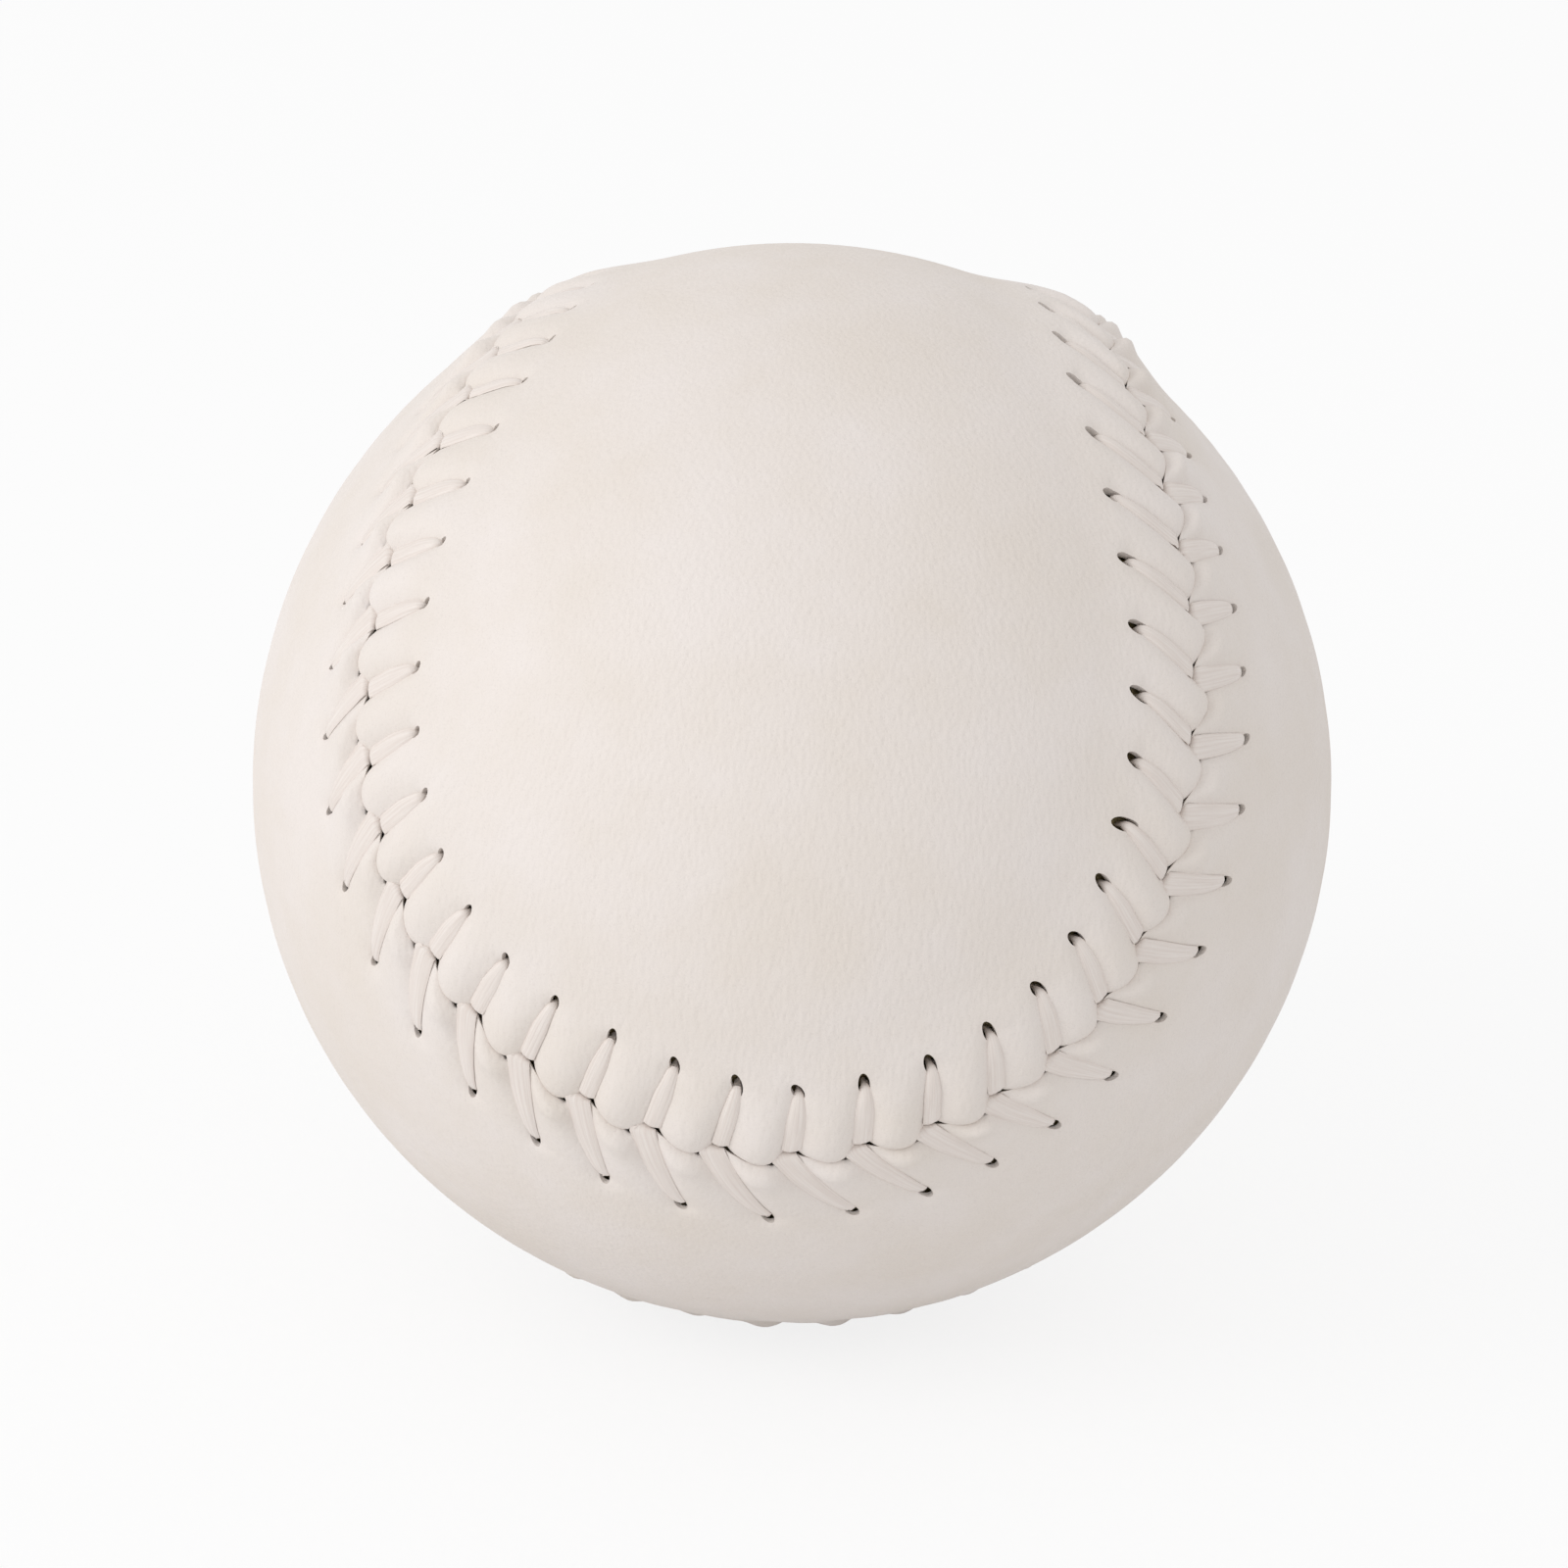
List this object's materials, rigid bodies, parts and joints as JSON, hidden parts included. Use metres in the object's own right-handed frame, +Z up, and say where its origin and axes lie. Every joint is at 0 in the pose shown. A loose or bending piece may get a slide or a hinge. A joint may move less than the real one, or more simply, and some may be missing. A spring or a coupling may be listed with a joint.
{
  "type": "softball",
  "caption": "Round stitched ball: cork and rubber core, wound yarn, latex skin and two figure-eight leather panels laced along one raised, puffed seam.",
  "frame": {"origin": "middle of the ball", "axes": "+Z up and -Y to the front, where the front panel's tongue shows with the bend of the seam below it; the ball is the same left and right of the YZ plane"},
  "size_m": [0.0966, 0.097, 0.097],
  "materials": {
    "cork_rubber": "matte, ground cork in a rubber binder",
    "wool_yarn": "wound grey yarn",
    "cotton_yarn": "wound off-white yarn",
    "latex": "thin dried latex, slightly glossy",
    "cover_leather": "white, fine pebble grain, satin",
    "waxed_thread": "flat waxed multi-strand thread, off-white"
  },
  "bodies": {
    "root": {"core": "cork_rubber", "inner_winding": "wool_yarn", "outer_winding": "cotton_yarn", "latex_skin": "latex", "cover_front": "cover_leather", "cover_back": "cover_leather", "thread_first": "waxed_thread", "thread_second": "waxed_thread"}
  },
  "joints": []
}
